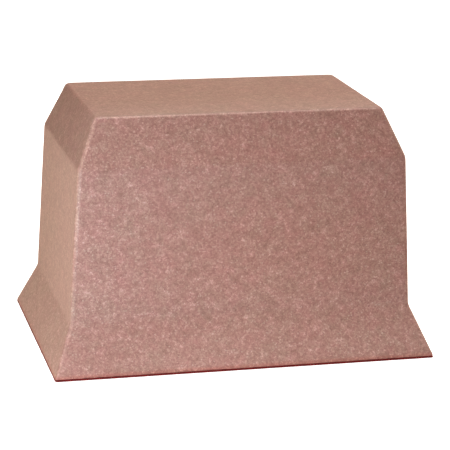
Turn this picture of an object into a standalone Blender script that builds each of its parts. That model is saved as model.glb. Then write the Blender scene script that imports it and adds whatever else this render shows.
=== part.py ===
"""A rectangular cast-stone urn with hipped top edges and a flared base.

The urn is filled from below. A hollow shell is cast in one piece and closed by a stone base plate, which is
bonded into a pocket with sealant. A plastic collar, screwed to the plate, takes a threaded plug with a grip
bar and an O-ring. A felt pad covers the underside.

The frame: the origin is the middle of the base on the surface that the urn stands on, +Z is up, X runs
along the wide side and -Y is the front.
"""

import math

import bmesh
import bpy
from mathutils import Matrix, Vector

MM = 0.001

# Outline of the base before its edges are rounded, and the height from the felt to the top face
BASE_WIDTH = 266.7 * MM
BASE_DEPTH = 189.0 * MM
TOTAL_HEIGHT = 172.7 * MM

# Pieces that touch in the real urn keep this gap
GAP = 0.3 * MM

# Outside of the shell: how far each level lies in from the base outline, and how high it is
FLARE_HEIGHT = 33.9 * MM
FLARE_INSET_X = 13.2 * MM
FLARE_INSET_Y = 18.4 * MM
SHOULDER_HEIGHT = 140.1 * MM
SHOULDER_INSET = 19.0 * MM
TOP_INSET = 33.0 * MM

# Roundings of the shell
BASE_EDGE_RADIUS = 0.8 * MM
FLARE_RADIUS = 8.0 * MM
SHOULDER_RADIUS = 8.0 * MM
TOP_EDGE_RADIUS = 4.0 * MM
CORNER_RADIUS = 4.0 * MM
BASE_CORNER_RADIUS = 2.0 * MM
CHAMBER_CORNER_RADIUS = 10.0 * MM
CHAMBER_TOP_RADIUS = 8.0 * MM

# How far in from its edges each flat end of the shell's loft is capped
CAP_INSET = 8.0 * MM

# Felt pad
FELT_THICKNESS = 1.2 * MM

# Shell wall, and the pocket that the base plate sits in
WALL = 12.0 * MM
LEDGE_WIDTH = 8.0 * MM
PLATE_THICKNESS = 10.0 * MM
BOND_GAP = 2.0 * MM
POCKET_CORNER_RADIUS = 12.0 * MM

# Collar, in the middle of the plate
THREAD_PITCH = 4.0 * MM
COLLAR_FLANGE_RADIUS = 45.0 * MM
COLLAR_FLANGE_THICKNESS = 3.0 * MM
COLLAR_BARREL_RADIUS = 37.0 * MM
COLLAR_RECESS_RADIUS = 34.6 * MM
COLLAR_RECESS_DEPTH = 5.2 * MM
COLLAR_BORE_RADIUS = 32.5 * MM
COLLAR_CREST_RADIUS = 31.0 * MM
COLLAR_TOP = 20.0 * MM
GASKET_THICKNESS = 1.0 * MM
FELT_HOLE_RADIUS = 46.5 * MM

# Plug
PLUG_HEAD_RADIUS = 34.2 * MM
PLUG_HEAD_THICKNESS = 2.5 * MM
PLUG_NECK_RADIUS = 32.1 * MM
PLUG_CORE_RADIUS = 30.5 * MM
PLUG_CREST_RADIUS = 32.1 * MM
PLUG_RECESS_RADIUS = 26.0 * MM
PLUG_TOP_THICKNESS = 4.0 * MM
PLUG_TOP = 18.6 * MM
PLUG_CHAMFER = 1.0 * MM
GRIP_BAR_WIDTH = 7.0 * MM
GRIP_BAR_SETBACK = 0.5 * MM
GRIP_BAR_ROOT = 1.5 * MM
O_RING_RADIUS = 0.8 * MM

# Thread ridges
RIDGE_ROOT_WIDTH = 2.3 * MM
RIDGE_CREST_WIDTH = 1.3 * MM
RIDGE_SINK = 0.6 * MM
THREAD_START = 8.4 * MM
COLLAR_THREAD_END = 18.2 * MM
PLUG_THREAD_END = 17.0 * MM

# Self-tapping screws that hold the collar
SCREW_COUNT = 4
SCREW_CIRCLE_RADIUS = 41.2 * MM
SCREW_HEAD_RADIUS = 2.9 * MM
SCREW_HEAD_HEIGHT = 1.6 * MM
SCREW_SHANK_RADIUS = 1.4 * MM
SCREW_LENGTH = 8.0 * MM
SCREW_TIP_LENGTH = 2.0 * MM
SCREW_SLOT_WIDTH = 0.7 * MM
SCREW_SLOT_DEPTH = 0.8 * MM
SCREW_SLOT_REACH = 0.6 * SCREW_HEAD_RADIUS

# How far a cutter runs past the faces that it cuts, and how near points are merged
OVERSHOOT = 1.0 * MM
MERGE_DISTANCE = 0.001 * MM

# How finely round shapes are divided
ROUND_SEGMENTS = 48
SMALL_SEGMENTS = 16
CORNER_SEGMENTS = 4
FILLET_SEGMENTS = 4
O_RING_SEGMENTS = 8

# Heights worked out from the dimensions above
RIM_Z = FELT_THICKNESS + GAP
PLATE_TOP_Z = RIM_Z + PLATE_THICKNESS
LEDGE_Z = PLATE_TOP_Z + 2 * GAP
COLLAR_Z = RIM_Z + GAP
FLANGE_TOP_Z = COLLAR_Z + COLLAR_FLANGE_THICKNESS
GASKET_Z = FLANGE_TOP_Z + GAP
COUNTERBORE_Z = GASKET_Z + GASKET_THICKNESS + GAP
SEAT_Z = COLLAR_Z + COLLAR_RECESS_DEPTH
PLUG_Z = COLLAR_Z + GAP
PLUG_HEAD_TOP_Z = PLUG_Z + PLUG_HEAD_THICKNESS
O_RING_Z = (PLUG_HEAD_TOP_Z + SEAT_Z) / 2

# The chamber's outline at the ledge, worked out from the shell's wall
SIDE_LEAN = (SHOULDER_INSET - FLARE_INSET_X) / (SHOULDER_HEIGHT - FLARE_HEIGHT)
FRONT_LEAN = (SHOULDER_INSET - FLARE_INSET_Y) / (SHOULDER_HEIGHT - FLARE_HEIGHT)
CHAMBER_HALF_X = BASE_WIDTH / 2 - FLARE_INSET_X - WALL + SIDE_LEAN * (FLARE_HEIGHT - LEDGE_Z)
CHAMBER_HALF_Y = BASE_DEPTH / 2 - FLARE_INSET_Y - WALL + FRONT_LEAN * (FLARE_HEIGHT - LEDGE_Z)
POCKET_HALF_X = CHAMBER_HALF_X + LEDGE_WIDTH
POCKET_HALF_Y = CHAMBER_HALF_Y + LEDGE_WIDTH

MATERIALS = {
    "cast_stone": ((0.44, 0.25, 0.21), 0.30, 0.0),
    "plate_stone": ((0.42, 0.27, 0.23), 0.65, 0.0),
    "sealant": ((0.70, 0.66, 0.62), 0.45, 0.0),
    "collar_plastic": ((0.045, 0.042, 0.042), 0.45, 0.0),
    "plug_plastic": ((0.030, 0.028, 0.028), 0.35, 0.0),
    "seal_rubber": ((0.020, 0.020, 0.020), 0.60, 0.0),
    "screw_steel": ((0.62, 0.61, 0.59), 0.30, 1.0),
    "base_felt": ((0.120, 0.010, 0.012), 0.95, 0.0),
}


def clear_scene():
    """Removes every object that the file opens with."""
    for obj in list(bpy.data.objects):
        bpy.data.objects.remove(obj, do_unlink=True)


def material(name):
    """The named material, made the first time it is asked for."""
    if name in bpy.data.materials:
        return bpy.data.materials[name]
    colour, roughness, metallic = MATERIALS[name]
    made = bpy.data.materials.new(name)
    made.use_nodes = True
    shader = made.node_tree.nodes["Principled BSDF"]
    shader.inputs["Base Color"].default_value = (*colour, 1.0)
    shader.inputs["Roughness"].default_value = roughness
    shader.inputs["Metallic"].default_value = metallic
    made.diffuse_color = (*colour, 1.0)
    return made


def object_from(name, shape, material_name=None):
    """Turns a bmesh into an object. One with no material is a cutter, which isn't rendered."""
    bmesh.ops.remove_doubles(shape, verts=shape.verts, dist=MERGE_DISTANCE)
    bmesh.ops.recalc_face_normals(shape, faces=shape.faces)
    mesh = bpy.data.meshes.new(name)
    shape.to_mesh(mesh)
    shape.free()
    obj = bpy.data.objects.new(name, mesh)
    bpy.context.scene.collection.objects.link(obj)
    if material_name is None:
        obj.hide_render = True
        obj.display_type = "WIRE"
    else:
        mesh.materials.append(material(material_name))
        mesh.shade_smooth()
        mesh.set_sharp_from_angle(angle=math.radians(30))
    return obj


def boolean(obj, other, operation):
    """Cuts or joins another object, which is then left out of the render."""
    modifier = obj.modifiers.new(f"{operation.lower()} {other.name}", "BOOLEAN")
    modifier.operation = operation
    modifier.solver = "EXACT"
    modifier.object = other
    other.hide_render = True
    other.display_type = "WIRE"


def fillet(before, corner, after, radius, segments):
    """Points of the arc that rounds a corner, which may lie in any plane."""
    to_before = (before - corner).normalized()
    to_after = (after - corner).normalized()
    half_angle = to_before.angle(to_after) / 2
    centre = corner + (to_before + to_after).normalized() * radius / math.sin(half_angle)
    start = corner + to_before * radius / math.tan(half_angle)
    end = corner + to_after * radius / math.tan(half_angle)
    sweep = math.pi - 2 * half_angle
    points = []
    for step in range(segments + 1):
        share = step / segments
        from_start, from_end = math.sin((1 - share) * sweep), math.sin(share * sweep)
        offset = from_start * (start - centre) + from_end * (end - centre)
        points.append(centre + offset / math.sin(sweep))
    return points


def rounded_levels(levels):
    """Levels of a loft, with their bends rounded.

    Each level is (half x, half y, z, bend radius, corner radius). The result holds (half x, half y, z,
    corner radius).
    """
    corners = [Vector(level[:3]) for level in levels]
    found = []
    for index, (corner, level) in enumerate(zip(corners, levels)):
        bend_radius, corner_radius = level[3:]
        if bend_radius == 0:
            points = [corner]
        else:
            points = fillet(corners[index - 1], corner, corners[index + 1], bend_radius, FILLET_SEGMENTS)
        found += [(*point, corner_radius) for point in points]
    return found


def rounded_rectangle(half_x, half_y, z, radius):
    """Points round a rectangle with rounded corners, anticlockwise from above."""
    points = []
    for quarter, (side_x, side_y) in enumerate(((1, 1), (-1, 1), (-1, -1), (1, -1))):
        for step in range(CORNER_SEGMENTS + 1):
            angle = (quarter + step / CORNER_SEGMENTS) * math.pi / 2
            x = side_x * (half_x - radius) + radius * math.cos(angle)
            y = side_y * (half_y - radius) + radius * math.sin(angle)
            points.append(Vector((x, y, z)))
    return points


def skin(shape, loops, closed):
    """Joins loops of equal length with quads. The ends are capped, or joined to each other if closed."""
    rings = [[shape.verts.new(point) for point in loop] for loop in loops]
    pairs = list(zip(rings, rings[1:]))
    if closed:
        pairs.append((rings[-1], rings[0]))
    else:
        shape.faces.new(rings[0])
        shape.faces.new(rings[-1])
    count = len(rings[0])
    for lower, upper in pairs:
        for index in range(count):
            following = (index + 1) % count
            shape.faces.new((lower[index], lower[following], upper[following], upper[index]))


def loft(name, levels, material_name=None, closed=False):
    """A body whose every level is a rounded rectangle."""
    shape = bmesh.new()
    skin(shape, [rounded_rectangle(*level) for level in levels], closed)
    return object_from(name, shape, material_name)


def turned(name, profile, material_name=None, centre=(0, 0), segments=ROUND_SEGMENTS):
    """A body turned about a vertical axis from a closed profile of (radius, z)."""
    shape = bmesh.new()
    corners = [shape.verts.new((radius, 0, z)) for radius, z in profile]
    edges = [shape.edges.new(pair) for pair in zip(corners, corners[1:] + corners[:1])]
    on_axis = [edge for edge in edges if all(corner.co.x == 0 for corner in edge.verts)]
    spun = [part for part in corners + edges if part not in on_axis]
    bmesh.ops.spin(
        shape,
        geom=spun,
        cent=(0, 0, 0),
        axis=(0, 0, 1),
        angle=math.tau,
        steps=segments,
        use_merge=True,
    )
    bmesh.ops.delete(shape, geom=[edge for edge in shape.edges if not edge.link_faces], context="EDGES")
    bmesh.ops.translate(shape, verts=shape.verts, vec=(*centre, 0))
    return object_from(name, shape, material_name)


def thread_ridge(name, wall_radius, crest_radius, start_z, end_z, phase):
    """A right-handed helical ridge on a round wall, with ends that run out into the wall."""
    outward = math.copysign(1, crest_radius - wall_radius)
    steps = round((end_z - start_z) / THREAD_PITCH * ROUND_SEGMENTS)
    run_out = ROUND_SEGMENTS // 8
    loops = []
    for step in range(steps + 1):
        angle = math.tau * step / ROUND_SEGMENTS + phase
        middle = start_z + THREAD_PITCH * step / ROUND_SEGMENTS
        rise = min(1, step / run_out, (steps - step) / run_out)
        root = wall_radius - outward * RIDGE_SINK
        crest = wall_radius + (crest_radius - wall_radius) * rise - outward * RIDGE_SINK * (1 - rise) / 2
        section = (
            (root, -RIDGE_ROOT_WIDTH / 2),
            (crest, -RIDGE_CREST_WIDTH / 2),
            (crest, RIDGE_CREST_WIDTH / 2),
            (root, RIDGE_ROOT_WIDTH / 2),
        )
        loops.append([
            Vector((radius * math.cos(angle), radius * math.sin(angle), middle + height))
            for radius, height in section
        ])
    shape = bmesh.new()
    skin(shape, loops, closed=False)
    return object_from(name, shape)


def box(name, low, high):
    """A plain cutter or block between two corners."""
    shape = bmesh.new()
    size = [b - a for a, b in zip(low, high)]
    middle = [(a + b) / 2 for a, b in zip(low, high)]
    bmesh.ops.create_cube(shape, size=1, matrix=Matrix.Translation(middle) @ Matrix.Diagonal((*size, 1)))
    return object_from(name, shape)


def screw_places():
    """(side, x, y) of each collar screw, between the axes."""
    sides = ("back_right", "back_left", "front_left", "front_right")
    for index in range(SCREW_COUNT):
        angle = math.tau * (index + 0.5) / SCREW_COUNT
        yield sides[index], SCREW_CIRCLE_RADIUS * math.cos(angle), SCREW_CIRCLE_RADIUS * math.sin(angle)


def urn_body():
    """The hollow shell, as one loft from the top face over the outside and the rim, up into the chamber."""
    half_x, half_y = BASE_WIDTH / 2, BASE_DEPTH / 2
    chamber_top = TOTAL_HEIGHT - WALL
    hip_lean = (TOP_INSET - SHOULDER_INSET) / (TOTAL_HEIGHT - SHOULDER_HEIGHT)
    hip_inset = SHOULDER_INSET + hip_lean * (chamber_top - SHOULDER_HEIGHT) + WALL * math.hypot(1, hip_lean)
    levels = [
        (half_x - TOP_INSET - CAP_INSET, half_y - TOP_INSET - CAP_INSET, TOTAL_HEIGHT, 0, CORNER_RADIUS),
        (half_x - TOP_INSET, half_y - TOP_INSET, TOTAL_HEIGHT, TOP_EDGE_RADIUS, CORNER_RADIUS),
        (half_x - SHOULDER_INSET, half_y - SHOULDER_INSET, SHOULDER_HEIGHT, SHOULDER_RADIUS, CORNER_RADIUS),
        (half_x - FLARE_INSET_X, half_y - FLARE_INSET_Y, FLARE_HEIGHT, FLARE_RADIUS, CORNER_RADIUS),
        (half_x, half_y, RIM_Z, BASE_EDGE_RADIUS, BASE_CORNER_RADIUS),
        (POCKET_HALF_X, POCKET_HALF_Y, RIM_Z, 0, POCKET_CORNER_RADIUS),
        (POCKET_HALF_X, POCKET_HALF_Y, LEDGE_Z, 0, POCKET_CORNER_RADIUS),
        (CHAMBER_HALF_X, CHAMBER_HALF_Y, LEDGE_Z, 0, CHAMBER_CORNER_RADIUS),
        (
            half_x - SHOULDER_INSET - WALL,
            half_y - SHOULDER_INSET - WALL,
            SHOULDER_HEIGHT,
            CHAMBER_TOP_RADIUS,
            CHAMBER_CORNER_RADIUS,
        ),
        (half_x - hip_inset, half_y - hip_inset, chamber_top, CHAMBER_TOP_RADIUS, CHAMBER_CORNER_RADIUS),
        (
            half_x - hip_inset - CAP_INSET,
            half_y - hip_inset - CAP_INSET,
            chamber_top,
            0,
            CHAMBER_CORNER_RADIUS,
        ),
    ]
    return loft("urn_body", rounded_levels(levels), "cast_stone")


def base_plate():
    """The stone slab that closes the shell, with a stepped hole for the collar and holes for its screws."""
    half_x, half_y = POCKET_HALF_X - BOND_GAP, POCKET_HALF_Y - BOND_GAP
    corner = POCKET_CORNER_RADIUS - BOND_GAP
    plate = loft(
        "base_plate",
        [(half_x, half_y, z, corner) for z in (RIM_Z, PLATE_TOP_Z)],
        "plate_stone",
    )
    below, above = RIM_Z - OVERSHOOT, PLATE_TOP_Z + OVERSHOOT
    step, hole = COLLAR_FLANGE_RADIUS + GAP, COLLAR_BARREL_RADIUS + GAP
    profile = [(0, below), (step, below), (step, COUNTERBORE_Z)]
    profile += [(hole, COUNTERBORE_Z), (hole, above), (0, above)]
    boolean(plate, turned("plate_hole_cutter", profile), "DIFFERENCE")
    pilot, low, high = SCREW_SHANK_RADIUS + GAP, COUNTERBORE_Z - OVERSHOOT, COLLAR_Z + SCREW_LENGTH + GAP
    for side, x, y in screw_places():
        profile = [(0, low), (pilot, low), (pilot, high), (0, high)]
        cutter = turned(f"pilot_cutter_{side}", profile, centre=(x, y), segments=SMALL_SEGMENTS)
        boolean(plate, cutter, "DIFFERENCE")
    return plate


def sealant_bead():
    """The ring of sealant between the plate's edge and the pocket."""
    inner_x, inner_y = POCKET_HALF_X - BOND_GAP + GAP, POCKET_HALF_Y - BOND_GAP + GAP
    inner_corner = POCKET_CORNER_RADIUS - BOND_GAP + GAP
    width = BOND_GAP - 2 * GAP
    low, high = RIM_Z + 3 * GAP, PLATE_TOP_Z
    inner = [(inner_x, inner_y, z, inner_corner) for z in (low, high)]
    outer = [(inner_x + width, inner_y + width, z, inner_corner + width) for z in (high, low)]
    return loft("sealant_bead", inner + outer, "sealant", closed=True)


def closure_collar():
    """The flanged plastic collar with the thread that the plug turns in."""
    profile = [
        (COLLAR_RECESS_RADIUS, COLLAR_Z),
        (COLLAR_FLANGE_RADIUS, COLLAR_Z),
        (COLLAR_FLANGE_RADIUS, FLANGE_TOP_Z),
        (COLLAR_BARREL_RADIUS, FLANGE_TOP_Z),
        (COLLAR_BARREL_RADIUS, COLLAR_TOP),
        (COLLAR_BORE_RADIUS, COLLAR_TOP),
        (COLLAR_BORE_RADIUS, SEAT_Z),
        (COLLAR_RECESS_RADIUS, SEAT_Z),
    ]
    collar = turned("closure_collar", profile, "collar_plastic")
    half_turn = math.pi
    ridge = thread_ridge(
        "collar_ridge",
        COLLAR_BORE_RADIUS,
        COLLAR_CREST_RADIUS,
        THREAD_START,
        COLLAR_THREAD_END,
        half_turn,
    )
    boolean(collar, ridge, "UNION")
    head, shank = SCREW_HEAD_RADIUS + GAP, SCREW_SHANK_RADIUS + GAP
    sink = COLLAR_Z + SCREW_HEAD_HEIGHT + GAP
    profile = [(0, COLLAR_Z - OVERSHOOT), (head, COLLAR_Z - OVERSHOOT), (head, COLLAR_Z), (shank, sink)]
    profile += [(shank, FLANGE_TOP_Z + OVERSHOOT), (0, FLANGE_TOP_Z + OVERSHOOT)]
    for side, x, y in screw_places():
        cutter = turned(f"collar_screw_cutter_{side}", profile, centre=(x, y), segments=SMALL_SEGMENTS)
        boolean(collar, cutter, "DIFFERENCE")
    return collar


def collar_gasket():
    """The flat gasket between the collar's flange and the plate."""
    inner, outer = COLLAR_BARREL_RADIUS + GAP, COLLAR_FLANGE_RADIUS
    top = GASKET_Z + GASKET_THICKNESS
    gasket = turned(
        "collar_gasket",
        [(inner, GASKET_Z), (outer, GASKET_Z), (outer, top), (inner, top)],
        "seal_rubber",
    )
    radius, low, high = SCREW_SHANK_RADIUS + GAP, GASKET_Z - OVERSHOOT, top + OVERSHOOT
    for side, x, y in screw_places():
        profile = [(0, low), (radius, low), (radius, high), (0, high)]
        cutter = turned(f"gasket_cutter_{side}", profile, centre=(x, y), segments=SMALL_SEGMENTS)
        boolean(gasket, cutter, "DIFFERENCE")
    return gasket


def collar_screws():
    """Four countersunk self-tapping screws with a cross slot, driven upwards into the plate."""
    thread_end = COLLAR_Z + SCREW_LENGTH - SCREW_TIP_LENGTH
    profile = [
        (0, COLLAR_Z),
        (SCREW_HEAD_RADIUS, COLLAR_Z),
        (SCREW_SHANK_RADIUS, COLLAR_Z + SCREW_HEAD_HEIGHT),
        (SCREW_SHANK_RADIUS, thread_end),
        (0, COLLAR_Z + SCREW_LENGTH),
    ]
    half = SCREW_SLOT_WIDTH / 2
    for side, x, y in screw_places():
        name = f"collar_screw_{side}"
        screw = turned(name, profile, "screw_steel", centre=(x, y), segments=SMALL_SEGMENTS)
        for slot, wide, deep in (("across", SCREW_SLOT_REACH, half), ("along", half, SCREW_SLOT_REACH)):
            low = (x - wide, y - deep, COLLAR_Z - OVERSHOOT)
            high = (x + wide, y + deep, COLLAR_Z + SCREW_SLOT_DEPTH)
            boolean(screw, box(f"slot_{slot}_{side}", low, high), "DIFFERENCE")


def screw_plug():
    """The threaded plug: a dished disc with a bar across the dish to turn it by."""
    dish_top = PLUG_TOP - PLUG_TOP_THICKNESS
    profile = [
        (0, dish_top),
        (PLUG_RECESS_RADIUS, dish_top),
        (PLUG_RECESS_RADIUS, PLUG_Z),
        (PLUG_HEAD_RADIUS, PLUG_Z),
        (PLUG_HEAD_RADIUS, PLUG_HEAD_TOP_Z),
        (PLUG_NECK_RADIUS, PLUG_HEAD_TOP_Z),
        (PLUG_CORE_RADIUS, SEAT_Z),
        (PLUG_CORE_RADIUS, PLUG_TOP - PLUG_CHAMFER),
        (PLUG_CORE_RADIUS - PLUG_CHAMFER, PLUG_TOP),
        (0, PLUG_TOP),
    ]
    plug = turned("screw_plug", profile, "plug_plastic")
    no_turn = 0
    ridge = thread_ridge(
        "plug_ridge",
        PLUG_CORE_RADIUS,
        PLUG_CREST_RADIUS,
        THREAD_START,
        PLUG_THREAD_END,
        no_turn,
    )
    boolean(plug, ridge, "UNION")
    reach = PLUG_RECESS_RADIUS + GRIP_BAR_ROOT
    low = (-reach, -GRIP_BAR_WIDTH / 2, PLUG_Z + GRIP_BAR_SETBACK)
    high = (reach, GRIP_BAR_WIDTH / 2, dish_top + OVERSHOOT)
    boolean(plug, box("grip_bar", low, high), "UNION")
    return plug


def plug_o_ring():
    """The O-ring between the plug's head and the collar's seat."""
    middle = (PLUG_NECK_RADIUS + COLLAR_RECESS_RADIUS) / 2
    profile = []
    for step in range(O_RING_SEGMENTS):
        angle = math.tau * step / O_RING_SEGMENTS
        out, up = O_RING_RADIUS * math.cos(angle), O_RING_RADIUS * math.sin(angle)
        profile.append((middle + out, O_RING_Z + up))
    return turned("plug_o_ring", profile, "seal_rubber")


def felt_pad():
    """The felt under the whole base, cut out round the collar."""
    half_x, half_y = BASE_WIDTH / 2, BASE_DEPTH / 2
    outline = [(half_x, half_y, z, BASE_CORNER_RADIUS) for z in (0, FELT_THICKNESS)]
    pad = loft("felt_pad", outline, "base_felt")
    low, high = -OVERSHOOT, FELT_THICKNESS + OVERSHOOT
    cutter = turned("felt_cutter", [(0, low), (FELT_HOLE_RADIUS, low), (FELT_HOLE_RADIUS, high), (0, high)])
    boolean(pad, cutter, "DIFFERENCE")
    return pad


clear_scene()
urn_body()
base_plate()
sealant_bead()
closure_collar()
collar_gasket()
collar_screws()
screw_plug()
plug_o_ring()
felt_pad()
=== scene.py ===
"""The looks of a cast-stone urn with hipped top edges, a flared base and a threaded plug underneath.

Lengths are in metres in the frame of the CAD model: the origin is the middle of the base on the floor, +Z is
up and -Y is the front. The pieces take their places from the boxes of the CAD nodes that they stand for.
"""

import math

import bmesh
import bpy
from mathutils import Matrix, Vector, noise


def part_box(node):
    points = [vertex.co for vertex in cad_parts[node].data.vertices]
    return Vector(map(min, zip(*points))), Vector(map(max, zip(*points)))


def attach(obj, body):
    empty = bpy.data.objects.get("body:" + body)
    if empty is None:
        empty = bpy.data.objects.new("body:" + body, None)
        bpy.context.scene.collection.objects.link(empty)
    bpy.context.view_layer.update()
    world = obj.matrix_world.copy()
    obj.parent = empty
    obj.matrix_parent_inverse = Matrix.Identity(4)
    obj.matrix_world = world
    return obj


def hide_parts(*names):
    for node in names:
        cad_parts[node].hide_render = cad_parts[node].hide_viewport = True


MM = 0.001
GAP = 0.3 * MM

# Meshes: which points are one, which radii are the same, and from which angle an edge is shaded as sharp
MERGE_DISTANCE = 1e-7
SAME_RADIUS = 1e-6
SHARP_ANGLE = math.radians(35)
STONE_SHARP_ANGLE = math.radians(50)

# Camera: it stands to the left of the middle, looks slightly down, and is turned a little about its own axis
CAMERA_TARGET = Vector((4.85 * MM, 0, 77.2 * MM))
CAMERA_AZIMUTH = math.radians(-13.72)
CAMERA_ELEVATION = math.radians(15.11)
CAMERA_ROLL = math.radians(0.85)
CAMERA_DISTANCE = 1.443
CAMERA_LENS = 160.9
CAMERA_SENSOR = 36.0

# Outside of the shell: heights, and how far each level lies in from the base outline. They are the values of
# the CAD model, apart from BASE_EDGE_RADIUS and CORNER_RADIUS, which are a little sharper.
OUTLINE_X = 266.7 * MM
OUTLINE_Y = 189.0 * MM
FLARE_HEIGHT = 33.9 * MM
FLARE_INSET_X = 13.2 * MM
FLARE_INSET_Y = 18.4 * MM
SHOULDER_HEIGHT = 140.1 * MM
SHOULDER_INSET = 19.0 * MM
TOP_INSET = 33.0 * MM
BASE_EDGE_RADIUS = 0.45 * MM
FLARE_RADIUS = 8.0 * MM
SHOULDER_RADIUS = 8.0 * MM
TOP_EDGE_RADIUS = 4.0 * MM
CORNER_RADIUS = 3.2 * MM
BASE_CORNER_RADIUS = 2.0 * MM

# The narrow face that closes the middle of the top
CAP_HALF_WIDTH = 6.0 * MM

# Inside of the shell. Within RIM_MARGIN of the outline the rim's corners are rounded like the outside's, and
# further in like the pocket's.
RIM_MARGIN = 3.0 * MM
WALL = 12.0 * MM
LEDGE_WIDTH = 8.0 * MM
LEDGE_DEPTH = 10.6 * MM
POCKET_CORNER_RADIUS = 12.0 * MM
CHAMBER_CORNER_RADIUS = 10.0 * MM
CHAMBER_TOP_RADIUS = 8.0 * MM
CHAMBER_BEND_SEGMENTS = 5

# How finely the stone is divided, and how much its cast faces wander above the still part next to the rim
STONE_STEP = 4.0 * MM
STONE_BEND_SEGMENTS = 10
STONE_CORNER_SEGMENTS = 8
STONE_WAVE = 0.12 * MM
STONE_WAVE_LENGTH = 28.0 * MM
STILL_HEIGHT = 2.0 * MM

# Painted red light and shade from the felt on the stone just above it: a red cast that fades out upwards
FELT_TOP = 1.2 * MM
FELT_GLOW_HEIGHT = 3.6 * MM
FELT_GLOW_COLOUR = (1.0, 0.66, 0.62)

# Threads, like the CAD model's: a ridge's width at its foot and crest, and how it fades out at its ends
THREAD_PITCH = 4.0 * MM
THREAD_START = 8.4 * MM
COLLAR_THREAD_END = 18.2 * MM
PLUG_THREAD_END = 17.0 * MM
RIDGE_FOOT = 2.1 * MM
RIDGE_CREST = 1.3 * MM
RUN_OUT_TURNS = 0.12
THREAD_STEP = 0.2 * MM
TURN_SEGMENTS = 144

# Base plate, felt and sealant
PLATE_CORNER_RADIUS = 10.0 * MM
PLATE_EDGE_RADIUS = 0.8 * MM
PLATE_CHAMFER = 0.5 * MM
PLATE_WAVE = 0.25 * MM
PLATE_RINGS = 16
FELT_HOLE_RADIUS = 46.5 * MM
FELT_EDGE_RADIUS = 0.35 * MM
FELT_STEP = 2.0 * MM
FELT_RINGS = 26
FELT_MATTING = 0.14 * MM
FELT_LUMP_LENGTH = 5.0 * MM
FELT_TUFT_LENGTH = 2.2 * MM
FELT_CUT_WANDER = 0.20 * MM
FELT_CUT_LENGTH = 7.0 * MM
FELT_CUT_ZONE = 0.98
SEALANT_WIDTH = 1.4 * MM
SEALANT_CORNER_RADIUS = 10.3 * MM
SEALANT_EDGE_RADIUS = 0.3 * SEALANT_WIDTH
SEALANT_WAVE = 0.5 * MM
SEALANT_WAVE_LENGTH = 9.0 * MM

# Collar and gasket
FLANGE_THICKNESS = 3.0 * MM
BARREL_RADIUS = 37.0 * MM
SEAT_RADIUS = 34.6 * MM
SEAT_DEPTH = 5.2 * MM
BORE_RADIUS = 32.5 * MM
BORE_RIDGE_HEIGHT = 1.5 * MM
COLLAR_GROOVE_RADIUS = 36.4 * MM
GASKET_EDGE_RADIUS = 0.2 * MM

# Plug and its ring
HEAD_THICKNESS = 2.5 * MM
NECK_RADIUS = 32.1 * MM
CORE_RADIUS = 30.5 * MM
CORE_RIDGE_HEIGHT = 1.6 * MM
DISH_RADIUS = 26.0 * MM
PLUG_TOP_THICKNESS = 4.0 * MM
PLUG_GROOVE_RADIUS = 30.0 * MM
GRIP_HALF_WIDTH = 3.5 * MM
GRIP_SETBACK = 0.5 * MM
GRIP_ROOT = 1.5 * MM
GRIP_EDGE_RADIUS = 0.9 * MM
GRIP_RIB_PITCH = 2.4 * MM
GRIP_RIB_DEPTH = 0.35 * MM
GRIP_RIB_STEPS = 8
GRIP_RIBBED_REACH = 16.8 * MM
RING_THICKNESS = 1.6 * MM
RING_SEAM = 0.02 * MM
RING_SEGMENTS = 24

# Grooves moulded round the collar and the plug
GROOVE_WIDTH = 0.8 * MM
GROOVE_DEPTH = 0.3 * MM
GROOVE_EDGE_RADIUS = 0.1 * MM
GROOVE_FLOOR_SHARE = 0.6

# Countersunk screws
SCREW_SIDES = ("back_right", "back_left", "front_left", "front_right")
SCREW_HEAD_RADIUS = 2.9 * MM
SCREW_HEAD_HEIGHT = 1.6 * MM
SCREW_HEAD_EDGE_RADIUS = 0.12 * MM
SCREW_SINK_CLEARANCE = 0.15 * MM
SCREW_SINK_LIP = 0.1 * MM
SCREW_CORE_RADIUS = 1.05 * MM
SCREW_HOLE_RADIUS = 1.7 * MM
SCREW_THREAD_HEIGHT = 0.35 * MM
SCREW_THREAD_PITCH = 1.0 * MM
SCREW_THREAD_FOOT = 0.55 * MM
SCREW_THREAD_CREST = 0.12 * MM
SCREW_THREAD_RUN_IN = 0.8 * MM
SCREW_THREAD_STEP = 0.1 * MM
SCREW_TIP_LENGTH = 2.0 * MM
SCREW_SEGMENTS = 40
SCREW_FIRST_TURN = 0.35
SCREW_NEXT_TURN = 0.9

# A screw's cross recess, whose arms narrow from the size just outside its mouth to the size at its bottom
CROSS_REACH = 1.74 * MM
CROSS_HALF_WIDTH = 0.35 * MM
CROSS_DEPTH = 0.8 * MM
CROSS_OUTSIDE_SCALE = 1.15
CROSS_BOTTOM_SCALE = 0.62

# Stage: how far it reaches, and the heights of the floor's two sheets and of the cards that lie on the table
FLOOR_REACH = 6.0
SEEN_FLOOR_HEIGHT = -0.1 * MM
BOUNCE_FLOOR_HEIGHT = -0.2 * MM
TABLE_CARD_HEIGHT = -1 * MM
BACKDROP_RADIUS = 5.5

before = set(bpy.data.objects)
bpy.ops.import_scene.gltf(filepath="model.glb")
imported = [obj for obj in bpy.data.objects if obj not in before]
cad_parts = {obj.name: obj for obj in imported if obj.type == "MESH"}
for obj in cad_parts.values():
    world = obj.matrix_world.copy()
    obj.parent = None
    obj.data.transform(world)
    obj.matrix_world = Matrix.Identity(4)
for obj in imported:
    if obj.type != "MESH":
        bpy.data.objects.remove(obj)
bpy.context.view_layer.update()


# ---------------------------------------------------------------- shapes


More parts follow.
